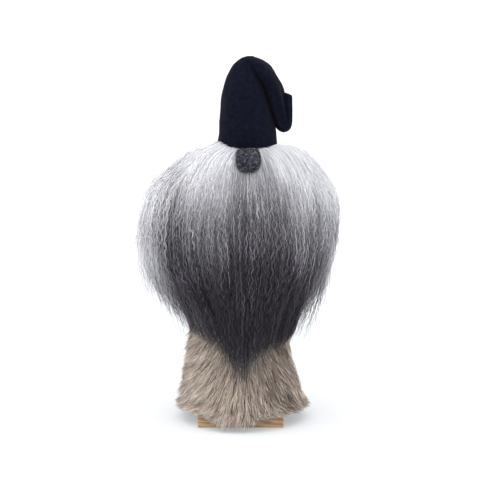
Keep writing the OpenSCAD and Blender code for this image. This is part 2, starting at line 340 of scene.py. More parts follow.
def wood(name, light, dark, grain_axis, pitch):
    """Wood with grain along an axis, and that many rings a metre across it."""
    made, tree, principled = new_material(name, Specular_IOR_Level=0.35)
    grain = own_space(tree, [0.12 if axis == grain_axis else 1 for axis in "XYZ"])
    rings = add_node(tree, "TexWave", {"wave_type": "BANDS", "bands_direction": "DIAGONAL"},
                     Vector=grain, Scale=pitch, Distortion=9.0, Detail=3.0, Detail_Scale=1.6)
    fibre = add_node(tree, "TexNoise", Vector=grain, Scale=900.0, Detail=6.0).outputs["Fac"]
    both = mix(tree, "OVERLAY", rings.outputs["Color"], fibre, 0.55)
    colour = ramp(tree, both, [(0.15, dark), (0.5, lerp(np.array(light), np.array(dark), 0.4)),
                               (0.85, light)])
    rough = ramp(tree, fibre, [(0.2, 0.62), (0.8, 0.45)])
    plug(tree, principled, colour, rough, fibre, depth=0.0003, strength=0.6)
    return made


def speckled(name, light, dark, scale, rough, depth=0.0004, stretch=(1, 1, 1), **shader):
    """Mottled material with a fine bump; rough is its least and greatest roughness."""
    made, tree, principled = new_material(name, **shader)
    fine = spots(tree, scale, 6.0, stretch)
    wide = spots(tree, scale / 7, 3.0, stretch)
    colour = ramp(tree, mix(tree, "OVERLAY", fine, wide, 0.6), [(0.3, dark), (0.7, light)])
    plug(tree, principled, colour, ramp(tree, wide, [(0.3, rough[1]), (0.7, rough[0])]), fine,
         depth, strength=0.7)
    return made


beard_paint = hair_material(
    "beard_locks",
    [(0.0, srgb(234, 234, 239)), (0.25, srgb(158, 158, 164)), (0.5, srgb(80, 78, 84)),
     (0.75, srgb(26, 23, 30)), (1.0, srgb(7, 5, 10))],
    [(0.0, srgb(252, 252, 253)), (0.25, srgb(235, 235, 240)), (0.5, srgb(215, 213, 219)),
     (0.75, srgb(168, 164, 174)), (1.0, srgb(101, 96, 107))],
    [(0.0, 0.0), (0.5, 0.22), (0.75, 0.52), (1.0, 1.0)], 0.55, Specular_IOR_Level=0.2)
coat_paint = hair_material(
    "coat_hair",
    [(0.0, srgb(54, 43, 38)), (0.4, srgb(90, 75, 67)), (1.0, srgb(138, 119, 107))],
    [(0.0, srgb(196, 178, 165)), (0.4, srgb(246, 229, 214)), (1.0, srgb(255, 250, 240))],
    [(0.0, 0.0), (0.5, 0.44), (1.0, 1.0)], 0.6, Specular_IOR_Level=0.25)
hat_paint = speckled("hat_cloth", srgb(16, 20, 36), srgb(6, 7, 16), 1500.0, (0.85, 0.95),
                     0.0005, Sheen_Weight=0.05, Sheen_Roughness=0.4,
                     Sheen_Tint=(*srgb(170, 158, 152), 1), Specular_IOR_Level=0.08)
nose_paint = speckled("nose_felt", srgb(88, 88, 101), srgb(2, 2, 5), 350.0, (0.85, 0.95),
                      0.001, Sheen_Weight=0.10, Sheen_Roughness=0.4, Specular_IOR_Level=0.1)
felt_fuzz_paint = hair_material(
    "felt_fuzz", [(0.0, srgb(12, 12, 17)), (1.0, srgb(32, 31, 38))],
    [(0.0, srgb(92, 92, 103)), (1.0, srgb(184, 183, 190))],
    [(0.0, 0.0), (0.7, 0.12), (0.88, 0.95), (1.0, 1.0)], 0.8, Specular_IOR_Level=0.15)
board_paint = wood("board_wood", srgb(184, 154, 119), srgb(148, 119, 86), "X", 110.0)
core_wood_paint = wood("turned_wood", srgb(214, 184, 140), srgb(170, 132, 88), "Z", 45.0)
steel_paint = speckled("steel", srgb(178, 180, 184), srgb(128, 130, 134), 900.0, (0.28, 0.42),
                       0.0001, Metallic=1.0)
skin_paint = speckled("pelt_skin", srgb(222, 204, 176), srgb(184, 160, 128), 260.0, (0.6, 0.8))
wadding_paint = speckled("wadding", srgb(236, 232, 222), srgb(206, 200, 188), 180.0, (0.85, 0.95),
                         0.002)
pin_paint = speckled("pin_heads", srgb(26, 27, 36), srgb(14, 15, 22), 900.0, (0.8, 0.95))
thread_paint = speckled("thread", srgb(44, 40, 42), srgb(24, 22, 26), 2500.0, (0.6, 0.8))
cord_paint = speckled("waxed_cord", srgb(132, 92, 58), srgb(88, 58, 34), 1200.0, (0.4, 0.6),
                      stretch=(1, 1, 0.3))

CAD_PAINT = {
    "base_board": board_paint, "base_screws": steel_paint, "foot_disc": core_wood_paint,
    "core_post": core_wood_paint, "head_block": core_wood_paint, "body_wadding": wadding_paint,
    "coat_hide": skin_paint, "coat_seam_thread": thread_paint, "coat_tacks": steel_paint,
    "neck_cord": cord_paint, "beard_hide": skin_paint, "beard_tacks": steel_paint,
    "nose_thread": thread_paint, "hat_wadding": wadding_paint, "hat_pins": pin_paint,
    "tip_wire": steel_paint, "end_wire": steel_paint,
}
for name, paint in CAD_PAINT.items():
    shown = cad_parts[name]
    if not shown.material_slots:
        shown.data.materials.append(paint)
    for slot in shown.material_slots:
        slot.material = paint


# ---- Beard ----

# Rows from the roots to the tips: [height, reach to the side, reach to the front] of the outer
# locks and [radius, height] of the inner ones, which lie on the coat
BEARD_ROWS = np.array([
    [309.5, 28.6, 28.6, 28.6, 290], [310.5, 34, 32, 29.5, 287], [307.5, 46, 36.5, 30.5, 283],
    [301.5, 58.5, 39.5, 32, 278], [293, 70.5, 43, 34, 271], [283, 80.5, 48.5, 36, 262],
    [272, 88.5, 56, 38, 252], [259, 95, 65, 40, 241], [245, 100, 75, 42.5, 228],
    [230, 102, 82, 44.5, 214], [214, 101.5, 86.5, 46.5, 200], [197, 98.5, 88, 48, 187],
    [180, 92, 88.5, 49.5, 172], [160, 82, 88, 50.5, 156], [140, 71.5, 86, 51.5, 138],
    [120, 63, 83, 52.5, 120], [99, 56.5, 78.5, 54, 99], [85, 55, 75.5, 56.5, 85],
    [51, 52, 67, 62.5, 51],
])
beard_table = smooth_table(BEARD_ROWS)
ROW_Z = BEARD_ROWS[:, 0]
FIRST_TIP = 3           # highest row that a hair may end at
WIDEST = 9              # row that reaches furthest to the side
SIDE_REACH = BEARD_ROWS[:WIDEST - 1:-1, :2]     # height and reach, from the tips up to there
# Where the outer locks of the left (-1) or right (1) differ: [side, mm, row, width in rows]
HIGHER = [[1, 7.0, 3.6, 1.9], [-1, 4.0, 2.8, 1.0], [-1, -1.5, 5.2, 1.2]]
WIDER = [[-1, -4.5, 7.8, 1.3], [-1, 2.5, 13.0, 1.7], [1, 1.2, 15, 1.2]]
# Height of the tips, by the angle from the front
TIP_HEIGHT = np.array([[-112, 107], [-90, 106], [-66, 105], [-50, 100], [-32, 94], [-18, 86],
                       [-9, 75], [-4, 65], [0, 60], [4, 63], [9, 74], [18, 85], [32, 91],
                       [50, 94], [90, 98], [112, 102]])
WRAP = 110              # angle round to which the beard reaches on either side
WISP_REACH = 114        # how far to the side the loosest hairs stand
FINE_POINTS = 150       # along a hair of the beard while it is shaped
GOLDEN = 0.6180339


def tip_row(angle):
    """Row where the longest hairs at an angle end."""
    rows = np.arange(FIRST_TIP, len(ROW_Z))
    return np.interp(-read(TIP_HEIGHT, angle), -ROW_Z[FIRST_TIP:], rows)


def towards_back(angle, start):
    """0 up to the angle start on either side, growing to 1 at the back edges of the beard."""
    return np.clip((np.abs(angle) - start) / (WRAP - start), 0, 1)


def one_sided(changes, angle, k):
    """Sum of the changes listed for either side, at an angle and a row."""
    return sum(smooth(10, 60, side * angle) * mm * bump(k, row, width)
               for side, mm, row, width in changes)


def beard_points(angle, q, k, flare=0.0):
    """Points of the beard at an angle in degrees, in the layer q from 0 next to the coat to 1
    outside, and at row k. flare keeps the lower part of a side lock out."""
    z1, side, front, r0, z0 = beard_table(k)
    side = side + flare * np.maximum(0, WISP_REACH - side) * smooth(4.0, 9.0, k)
    # On the left the locks puff up over the brim, and towards the back they start lower
    puff = 5.0 * bump(angle, -58, 26) * bump(k, 0.9, 0.8)
    z1 = z1 + puff - 5 * smooth(70, 112, np.abs(angle)) * smooth(5.5, 2.5, k)
    z1 = z1 + one_sided(HIGHER, angle, k)
    flat = 2.2 * smooth(7.0, 9.0, k) * smooth(13.5, 12, k)
    side = side + one_sided(WIDER, angle, k) - smooth(10, 60, angle) * flat
    # Further down the locks draw together towards the front
    low = np.clip((k - 12) / 6, 0, 1)
    turn = np.radians(angle * (1 - 0.28 * low))
    a = lerp(r0, side, q)
    b = lerp(r0, front, q)
    z = lerp(z0, z1, q)
    middle = LEAN * z * (1 - np.clip(a / HALF_W, 0, 1))
    return np.stack(np.broadcast_arrays(middle + a * np.sin(turn), -b * np.cos(turn), z), -1)


# How much further down than elsewhere the front locks are light: [x, mm]. Below the nose it is
# negative, which darkens the locks there, partly for their own darker middle and partly as painted
# shadow of the nose
FADE_LIFT = np.array([[-112, 22], [-98, 10], [-87, -10], [-77, -14], [-67, 3], [-57, 25],
                      [-47, 22], [-37, 18], [-27, 19], [-18, 22], [-9, -2], [2, -18], [12, -8],
                      [31, -4], [41, -1], [51, 0], [60, 19], [70, 37], [80, 11], [90, 14],
                      [100, 22], [112, 26]])
# Locks near the brim that are lighter or darker, as if lifted: [x, half width, heights where that
# starts and is full, mm]
TOP_LOCKS = [[50, 12, 265, 285, 14], [-66, 12, 270, 285, -12], [28, 13, 262, 280, -10],
             [-24, 13, 262, 280, -10]]
# [height, how dark the front of the wool is there]
GREYS = np.array([[62, 0.80], [84, 0.88], [100, 0.95], [119, 1.0], [153, 0.98], [170, 0.95],
                  [187, 0.88], [204, 0.78], [221, 0.67], [238, 0.57], [254, 0.46], [268, 0.35],
                  [283, 0.24], [297, 0.13], [312, 0.05], [322, 0.01]])


def greyness(p):
    """How dark the wool is at a point, from 0 white to 1 charcoal: darker downwards, and most in
    the middle of the front, where painted shadow of the nose adds to the locks' own darkness."""
    x, y, z = p[..., 0], p[..., 1], p[..., 2]
    # Below the nose the lift is negative, partly as painted shadow of the nose
    lift = read(FADE_LIFT, x) * smooth(20, -40, y) * smooth(130, 215, z)
    # The locks at the outline stay light further down
    rim = np.abs(x) - read(SIDE_REACH, z) + np.where(x < 0, 3, -7)
    lift = lift + 54 * smooth(-15, 1, rim) * smooth(226, 176, z)
    for middle, half, start, full, more in TOP_LOCKS:
        lift = lift + more * bump(x, middle, half) * smooth(start, full, z)
    height = z + 0.213 * (y + DEPTH) + lift
    # The locks that thin out over the coat on the left are lighter
    thin = bump(x, -44, 14) * bump(z, 115, 22)
    return read(GREYS, height) - 0.20 * thin


def across_wool(path):
    """Unit vectors across hairs of the beard: along its surface, and outward."""
    along = unit(np.gradient(path, axis=1))
    axis_x = LEAN * path[..., 2]
    outward = unit(np.stack([(path[..., 0] - axis_x) / HALF_W ** 2, path[..., 1] / DEPTH ** 2,
                             np.full_like(axis_x, 2e-3)], -1))
    side = unit(np.cross(along, outward))
    return side, np.cross(side, along)


def beard_hairs(rng, locks, each, layers, count, thick, wave=(0.8, 1.6), loose=1.0,
                sides=None, wisps=False, lightest=0.98):
    """Hairs in locks, over the whole beard or only at the angles from sides[0] to sides[1] on
    both sides, where wisps hang free. They lie between two layers, with a crimp of wave mm, and
    stray from their locks when loose. Returns their paths, thickness, tones, shades, facing
    directions and angles."""
    n = locks * each
    i = np.arange(locks)
    lock_angle = (np.modf(i * GOLDEN + rng.random())[0] * 2 - 1) * WRAP     # evenly spread
    if sides:
        lock_angle = np.where(i % 2, 1, -1) * rng.uniform(sides[0], sides[1], locks)
    lock_q = rng.uniform(layers[0], layers[1], locks)
    lock_wave = rng.uniform(wave[0], wave[1], locks)
    lock_pitch = rng.uniform(10.0, 15.0, locks)
    lock_phase = rng.uniform(0, 2 * math.pi, (locks, 2))
    lock_tone = rng.normal(0, 0.13, locks)
    lock_grey = rng.normal(0, 0.035, locks)
    lock_drift = rng.normal(0, 2.2, locks)

    def spread(values):
        return np.repeat(values, each, 0)

    off = rng.normal(0, 1, (n, 2))
    most = max(WRAP, sides[1]) if sides else WRAP
    angle = np.clip(spread(lock_angle) + off[:, 0] * 1.9 * loose, -most, most)
    q = spread(lock_q) + off[:, 1] * 0.022 * loose
    q = np.clip(q - 0.25 * towards_back(angle, 82) ** 2 * q, 0.05, 1.06)
    # Most hairs reach nearly to the tips, and fewer on the left, where the coat shows through
    cut = 1.02 - rng.random(n) ** 1.6 * (0.20 + 0.13 * smooth(-18, -42, angle))
    flare = rng.random(n) ** 2 * 0.6 * smooth(50, 80, np.abs(angle)) * smooth(0.92, 0.99, q)
    if wisps:
        cut = rng.uniform(0.72, 0.97, n) * np.where(angle > 0, 0.94, 1.0)
        flare = rng.uniform(0.15, 1.0, n) * smooth(1.05, 0.83, cut)
        flare = flare * np.where(angle < 0, 1.1, 0.6)
    t = np.linspace(0, 1, FINE_POINTS)[None]
    k = (tip_row(angle) * cut)[:, None] * t
    drift = (spread(lock_drift) + rng.normal(0, 2.0, n) * loose)[:, None] * t ** 1.3
    gather = 1 - 0.35 * smooth(0.55, 1.0, t)            # the hairs of a lock, towards its tip
    at_angle = spread(lock_angle)[:, None] + (angle - spread(lock_angle))[:, None] * gather + drift
    path = beard_points(at_angle, q[:, None], k, flare[:, None])
    side, outward = across_wool(path)
    s = distance_along(path)
    grow = smooth(6, 95, s)                             # the crimp, from the root on
    phase = spread(lock_phase) + rng.normal(0, 0.55, (n, 2)) * loose
    pitch = (spread(lock_pitch) * rng.uniform(0.94, 1.06, n))[:, None]
    size = (spread(lock_wave) * rng.uniform(0.6, 1.3, n))[:, None] * grow
    across = size * np.sin(2 * math.pi * s / pitch + phase[:, :1])
    lift = 0.55 * size * np.sin(2 * math.pi * s / pitch * 0.93 + phase[:, 1:])
    bend = rng.uniform(55, 110, n)[:, None]

    def slow_bend(most, rate):
        """A wide bend of its own for each hair."""
        return rng.normal(0, most, n)[:, None] * loose * grow * np.sin(
            2 * math.pi * s / bend * rate + rng.uniform(0, 6.28, n)[:, None])

    across = across + slow_bend(1.5, 1.0)
    lift = lift + slow_bend(1.0, 1.3)
    path = resample(path + side * across[..., None] + outward * lift[..., None], count)
    # Away from the middle of the figure and a little up
    facing = unit(path - np.stack([LEAN * path[..., 2], np.zeros_like(path[..., 2]),
                                   path[..., 2] - 12], -1))
    tone = np.clip(0.5 + spread(lock_tone) + rng.normal(0, 0.27, n), 0.01, lightest)
    shade = greyness(path) + (spread(lock_grey) + rng.normal(0, 0.05, n))[:, None]
    # Free tips are lighter; the points are evenly spaced, so the first step gives the distances
    step = np.linalg.norm(path[:, 1] - path[:, 0], axis=-1, keepdims=True)
    shade = shade - 0.42 * flare[:, None] * smooth(40, 110, step * np.arange(count))
    shade = np.clip(shade, 0.01, 0.99)
    radius = thick * rng.uniform(0.75, 1.25, n)[:, None] * taper(count)[None]
    return path, radius, tone, shade, facing, angle


def beard_core():
    """The dense wool under the loose locks, with grooves that run along them."""
    across, down = 300, 110
    angle = np.linspace(-WRAP, WRAP, across)[None]
    rows = np.linspace(0, 1, down)[:, None] * tip_row(angle)
    rows = rows * (0.94 - 0.10 * smooth(-18, -42, angle))
    q = (0.80 + 0.07 * np.cos(np.radians(angle))) * (1 - 0.5 * towards_back(angle, 78) ** 2)
    base = beard_points(angle, q, rows)
    place = np.stack(np.broadcast_arrays(angle, rows * 1.1), -1)
    groove = (waves(place * [1, 0.35], 7.0, 5) + 0.6 * waves(place * [1, 0.4], 3.4, 6)
              + 0.35 * waves(place * [1, 1.2], 1.9, 7))
    fade = smooth(0.6, 4, rows)
    inner = beard_points(angle, 0.3 * q, rows)
    out = unit(base - inner + 1e-6)
    outer = base + out * (groove * 1.5 * fade)[..., None]
    depth = np.linalg.norm(base - inner, axis=-1)
    # A shell that gets as thick as the wool where it ends at the back
    wool = lerp(np.minimum(7.0, 0.7 * depth), 1.35 * depth, smooth(84, 106, np.abs(angle)))
    thin = base - out * wool[..., None]
    points = np.concatenate([outer.reshape(-1, 3), thin.reshape(-1, 3)])
    n = across * down
    front = grid_faces(down, across, closed=False)
    rim = np.concatenate([np.arange(across), np.arange(2 * across - 1, n, across),
                          np.arange(n - 2, n - across - 1, -1),
                          np.arange(n - 2 * across, 0, -across)])
    after = np.roll(rim, -1)
    edge = np.stack([rim, rim + n, after + n, after], -1)
    faces = np.concatenate([front[:, ::-1], front + n, edge])
    # Painted shade: the underwool is darker in tone than the locks over it, to stand for the shade
    # between them, darker in its grooves, and a touch darker in shade; near the roots it is
    # lighter, as the wool is there
    tone = np.clip(0.26 + 0.16 * groove + 0.34 * smooth(7, 2, rows), 0.02, 0.95)
    shade = np.clip(greyness(outer) + 0.05, 0.02, 0.98)
    uv = np.stack([tone, shade], -1).reshape(-1, 2)
    return points, faces, np.concatenate([uv, uv])


points, faces, uv = beard_core()
make_mesh("beard_underwool", points, faces, BODY, "beard_wool", beard_paint, uv)

rng = np.random.default_rng(20)
for name, settings in {
    "beard_deep_locks": dict(locks=150, each=5, layers=(0.80, 0.90), count=38, thick=0.85,
                             lightest=0.45),
    "beard_locks": dict(locks=350, each=9, layers=(0.86, 0.995), count=64, thick=0.38),
    "beard_loose_hairs": dict(locks=380, each=1, layers=(0.93, 1.03), count=60, thick=0.20,
                              wave=(0.8, 1.9), loose=1.6),
    "beard_flyaway_hairs": dict(locks=220, each=1, layers=(1.0, 1.055), count=56, thick=0.16,
                                wave=(0.8, 1.8), loose=1.4),
    "beard_side_wisps": dict(locks=230, each=6, layers=(0.96, 1.03), count=50, thick=0.24,
                             wave=(0.9, 1.9), loose=1.5, sides=(50, 106), wisps=True),
    "beard_back_locks": dict(locks=180, each=6, layers=(0.06, 0.86), count=40, thick=0.5,
                             sides=(100, 117)),
}.items():
    made = beard_hairs(rng, **settings)
    hair_pieces(name, *made[:5], "beard_wool", "beard_locks", beard_paint, made[5])


# ---- Coat ----

# Outside of the fur: [height, radius, middle on X], which leans a little to the side
FUR = np.array([[15.5, 70.5, 3.0], [28, 69.6, 1.9], [43, 67.8, 0.5], [62, 64.0, -0.6],
                [82, 59.5, -1.5], [102, 57.0, -1.5], [149, 51.5, 0.5], [200, 46.4, 3.5],
                [240, 40.6, 6.0], [265, 36.5, 7.0], [281, 34.0, 7.4], [300, 33.0, 7.8],
                [312, 31.5, 8.0]])
# Lowest that the tips of the hem reach, by the angle from the front
HEM = np.array([[-180, 12], [-90, 12], [-60, 15], [-40, 16], [-30, 10], [-22, 2.0], [-10, 0.8],
                [3, 1.0], [9, 6], [14, 14], [28, 17], [43, 17], [60, 15], [90, 14], [180, 12]])
# Outside of the skin, which the fur stands clear of
HIDE_FOOT_Z, HIDE_FOOT_R, HIDE_SLOPE = 35, 51.0, 0.092
NECK_Z, NECK_R = 235, 26.0
BEHIND_HEAD_Z, BEHIND_HEAD_R = 281, 28.4
WIDEST_FUR = 72     # no less than the fur's radius anywhere
PARTING = 4         # angle at which the fur parts, to either side


def fur_radius(z):
    return read(FUR, z)


def fur_middle(z):
    return read(FUR, z, 2)


def round_axis(angle, r, z):
    """Points at an angle and a distance from the middle of the fur."""
    turn = np.radians(angle)
    middle = fur_middle(z)
    return np.stack(np.broadcast_arrays(middle + r * np.sin(turn), -r * np.cos(turn), z), -1)


def clear_of_hide(angle, r, z, room):
    """The radius r, or more where the skin comes nearer than room."""
    body = HIDE_FOOT_R - HIDE_SLOPE * np.maximum(0, z - HIDE_FOOT_Z)
    hide = np.where(z < NECK_Z, body, NECK_R)
    behind = (z > BEHIND_HEAD_Z) & (np.abs(angle) > WRAP)
    hide = np.where(behind, BEHIND_HEAD_R, hide) + room
    off = (LEAN * z - fur_middle(z)) * np.sin(np.radians(angle))
    return np.maximum(r, hide + off)


def coat_core():
    """The dense fur under the guard hairs, as a closed shell round the skin."""
    around, up = 260, 120
    angle = np.linspace(-180, 180, around, endpoint=False)[None]
    z = np.linspace(17.8, BRIM_Z - 2, up)[:, None]
    place = np.stack(np.broadcast_arrays(angle, z), -1)
    groove = waves(place * [1, 0.22], 8.0, 11) + 0.5 * waves(place * [1, 0.4], 4.0, 12)
    skin = clear_of_hide(angle, fur_radius(z) - 5.5, z, 1.0) + 0.6 * groove
    hidden = smooth(280, 285, z) * smooth(122, 112, np.abs(angle))      # behind the beard
    outer = round_axis(angle, lerp(skin, 27.0, hidden), z)
    inner = round_axis(angle, lerp(skin - 3, 24.0, hidden), z)
    points = np.concatenate([outer.reshape(-1, 3), inner.reshape(-1, 3)])
    n = around * up
    front = grid_faces(up, around)
    i = np.arange(around)
    j = (i + 1) % around
    low = np.stack([i, i + n, j + n, j], -1)
    top = np.stack([j, j + n, i + n, i], -1) + n - around
    faces = np.concatenate([front, front[:, ::-1] + n, low, top])
    # Painted shade: the underfur is dark, to stand for the shade in the gaps between the guard
    # hairs, and darker in its grooves
    tone = np.clip(0.10 + 0.05 * groove, 0.02, 0.98)
    shade = np.clip(0.22 + 0.10 * groove, 0.02, 0.9)
    uv = np.stack([tone, shade], -1).reshape(-1, 2)
    return points, faces, np.concatenate([uv, uv])


def coat_hairs(rng, tufts, each, count, thick):
    """Guard hairs in tufts, combed down and away from the middle of the front."""
    places = []
    while len(places) < tufts:                  # even over the skin, where the beard isn't
        h, a = rng.uniform(20, BRIM_Z - 3), rng.uniform(-180, 180)
        covered = abs(a) < 100 and h > 165 or abs(a) < 117 and h > 280
        if rng.random() < fur_radius(h) / WIDEST_FUR and not covered:
            places.append([h, a])
    z, angle = np.array(places).T
    z = np.where(rng.random(tufts) < 0.12, rng.uniform(19, 32, tufts), z)      # more at the hem

    def spread(values):
        return np.repeat(values, each, 0)

    n = tufts * each
    tuft_length = rng.uniform(21, 31, tufts)
    tuft_flare = rng.uniform(0.16, 0.36, tufts)
    tuft_comb = rng.normal(0, 0.10, tufts)
    # Painted shade: darker on the right, away from the light, and under the beard. Lighter on the
    # left and at the hem on the right
    tuft_tone_and_shade = (rng.normal(0.09, 0.19, tufts) - 0.30 * bump(angle, 46, 23)
                 + 0.16 * bump(angle, -42, 26)
                 - 0.16 * smooth(84, 120, z) * smooth(150, 90, np.abs(angle))
                 + 0.10 * smooth(58, 36, z) * smooth(10, 40, angle))
    aside, rise, _ = rng.normal(0, 1, (n, 3)).T
    z0 = np.clip(spread(z) + rise * 2.2, 18.5, BRIM_Z - 2.5)
    a = spread(angle)
    r_in = clear_of_hide(a, fur_radius(z0) - 6.0, z0, 0.8)
    a = a + np.degrees(aside * 1.2 / r_in)
    length = spread(tuft_length) * rng.uniform(0.8, 1.1, n) * lerp(1, 0.72, smooth(150, 290, z0))
    # How much of its length a hair runs to the side, and how much away from the skin
    comb = np.clip((a - PARTING) / 42, -1, 1) * np.where(a < PARTING, 0.58, 0.40)
    comb = comb * smooth(150, 80, np.abs(a)) + spread(tuft_comb) + rng.normal(0, 0.09, n)
    flare = spread(tuft_flare) + rng.normal(0, 0.06, n)
    flare = flare * lerp(0.75, 1.0, smooth(180, 60, z0)) + 0.14 * smooth(40, 20, z0)
    flare = flare * np.where((a > 20) & (a < 140) & (z0 > 70), 0.7, 1.0)
    t = np.linspace(0, 1, count)[None]
    turn = np.radians(a)[:, None]
    radial = np.stack([np.sin(turn), -np.cos(turn), np.zeros_like(turn)], -1)
    around = np.stack([np.cos(turn), np.sin(turn), np.zeros_like(turn)], -1)
    root = round_axis(a, r_in, z0)[:, None]
    fall = np.sqrt(np.maximum(0.2, 1 - flare ** 2 - comb ** 2))
    lowest = read(HEM, a + np.degrees(comb * length / 70)) + rng.gamma(2.0, 1.6, n) - 1.5
    fall = np.minimum(fall, np.maximum(z0 - np.maximum(lowest, 1.5), 4) / length)
    reach = length[:, None] * t
    out = flare[:, None] * reach * (1.25 - 0.45 * t)
    slide = comb[:, None] * reach * (0.8 + 0.3 * t)
    curl = rng.normal(0, 0.8, n)[:, None] * np.sin(math.pi * t * rng.uniform(0.8, 1.6, n)[:, None])
    path = (root + radial * (out + curl * 0.4)[..., None] + around * (slide + curl)[..., None]
            - np.array([0, 0, 1]) * (fall[:, None] * reach)[..., None])
    # Tips gather towards the middle hair of their tuft
    middle = path.reshape(tufts, each, count, 3).mean(1)
    path = lerp(path, spread(middle), 0.35 * smooth(0.3, 1, t)[..., None])
    # The tufts' tones carry painted shade on the right and under the beard
    tone = np.clip(0.5 + spread(tuft_tone_and_shade) + rng.normal(0, 0.27, n), 0.01, 0.98)
    shade = np.clip(t * rng.uniform(0.75, 1.0, n)[:, None]
                    + rng.normal(0.02, 0.05, n)[:, None], 0.01, 0.99)
    radius = thick * rng.uniform(0.7, 1.25, n)[:, None] * taper(count, full_to=0.45)[None]
    facing = unit(radial + np.array([0, 0, 0.4])) * np.ones_like(path)
    return path, radius, tone, shade, facing, a


points, faces, uv = coat_core()
make_mesh("coat_underfur", points, faces, BODY, "coat_fur", coat_paint, uv)
made = coat_hairs(np.random.default_rng(31), tufts=8000, each=4, count=5, thick=0.31)
hair_pieces("coat_guard_hairs", *made[:5], "coat_fur", "coat_hair", coat_paint, made[5])


# ---- Nose ----

NOSE_SHIFT = np.array([-0.8, 0, 1.2])       # from the middle of the CAD's ball
NOSE_SHARE = np.array([0.95, 1.0, 0.88])    # of its radius, along X, Y and Z


def nose_ball():
    """A felt ball pressed flat against the brim above it."""
    around, up = 72, 44
    turn = np.linspace(0, 2 * math.pi, around, endpoint=False)[None]
    rise = np.linspace(-1, 1, up + 2)[1:-1, None] * math.pi / 2
    ball = np.stack(np.broadcast_arrays(np.cos(rise) * np.cos(turn), np.cos(rise) * np.sin(turn),
                                        np.sin(rise)), -1)
    power = lerp(2.5, 4.2, smooth(-0.3, 0.7, np.sin(rise)))[..., None]
    square = np.sum(np.abs(ball) ** power, -1, keepdims=True) ** (-1 / power)
    lump = 0.45 * waves(ball, 1.3, 41) + 0.35 * waves(ball, 0.5, 42) + 0.2 * waves(ball, 0.22, 43)
    size = (NOSE_R * 0.95 + 0.5 * lump)[..., None]
    return NOSE + NOSE_SHIFT + ball * NOSE_SHARE * square * size


nose_rings = nose_ball()
points, faces = closed_rings(nose_rings)
nose = make_mesh("nose_felt_ball", points, faces, BODY, "nose_ball", nose_paint)


def fuzz(rng, roots, normals, length, thick, lie, curl=0.5):
    """Short curled fibres that stand on a surface; lie is how far they lean over."""
    n, count = len(roots), 6
    side = unit(np.cross(normals, rng.normal(size=(n, 3))))
    other = np.cross(normals, side)
    t = np.linspace(0, 1, count)[None, :, None]
    size = (length * rng.uniform(0.6, 1.3, n))[:, None, None]
    bow = rng.normal(0, curl, n)[:, None, None]
    path = roots[:, None] + size * (normals[:, None] * t * (1 - lie * t * 0.8)
                                    + side[:, None] * t * lie
                                    + other[:, None] * bow * np.sin(math.pi * t * 1.3))
    radius = thick * rng.uniform(0.7, 1.3, n)[:, None] * taper(count, full_to=0.5)[None]
    tone = rng.uniform(0.02, 0.98, n)
    shade = np.clip(rng.uniform(0.0, 0.6, n)[:, None] + 0.35 * t[..., 0], 0.01, 0.99)
    facing = normals[:, None] * np.ones_like(path)
    return path, radius, tone, shade, facing + 1e-3 * rng.normal(size=facing.shape)


def pick(rng, grid, count):
    """Random points on a grid of rings, with their outward directions."""
    along = np.gradient(grid, axis=0)
    across = np.roll(grid, -1, 1) - np.roll(grid, 1, 1)
    normal = unit(np.cross(across, along))
    area = np.linalg.norm(np.cross(across, along), axis=-1).ravel()
    chosen = rng.choice(area.size, count, p=area / area.sum())
    return grid.reshape(-1, 3)[chosen], normal.reshape(-1, 3)[chosen]


rng = np.random.default_rng(44)
roots, normals = pick(rng, nose_rings, 1500)
made = fuzz(rng, roots - normals * 0.5, normals, length=3.6, thick=0.17, lie=0.9, curl=0.6)
hair_pieces("nose_fuzz", *made, "nose_ball", "nose_felt", felt_fuzz_paint, made[0][:, 0, 0])


# ---- Hat ----

def outwards(rings):
    """Directions away from the middle of each ring."""
    return unit(rings - rings.mean(1, keepdims=True))


def hat_points(sections, seed, fold, n=96):
    """Rings of n points through sections [x and z of one edge, x and z of the other, half width
    along Y], with soft dents of about that depth in the cloth."""
    per_row = 8
    table = smooth_table(sections, per_row, passes=2)
    k = np.linspace(0, len(sections) - 1, (len(sections) - 1) * per_row + 1)[:, None]
    x1, z1, x2, z2, deep = table(k)
    turn = np.linspace(0, 2 * math.pi, n, endpoint=False)[None]
    # A little squarer than an ellipse
    c, s = (np.sign(w) * np.abs(w) ** 0.92 for w in (np.cos(turn), np.sin(turn)))
    x = (x1 + x2) / 2 + (x2 - x1) / 2 * c
    z = (z1 + z2) / 2 + (z2 - z1) / 2 * c
    y = deep * s
    rings = np.stack(np.broadcast_arrays(x, y, z), -1)
    soft = waves(rings, 34.0, seed) * 0.9 + waves(rings * [1, 1, 0.5], 15.0, seed + 1) * 0.45
    return rings + outwards(rings) * (soft * fold)[..., None]


# [height, left edge, right edge, half width along Y]
CROWN = [[310, -25.6, 41.0, 32.2], [320, -24.8, 39.8, 31.6], [332, -23.6, 38.4, 30.8],
         [344, -22.6, 36.4, 29.4], [356, -21.6, 34.0, 27.6], [367, -20.2, 31.4, 25.4],
         [376, -18.2, 28.8, 23.0], [384, -15.6, 26.0, 20.2], [391, -12.6, 23.2, 17.2],
         [397, -9.0, 20.6, 14.2], [401.5, -5.2, 18.6, 11.4], [404.8, -1.2, 17.2, 8.8],
         [406.6, 3.0, 15.8, 6.0], [407.6, 6.4, 14.0, 3.4]]
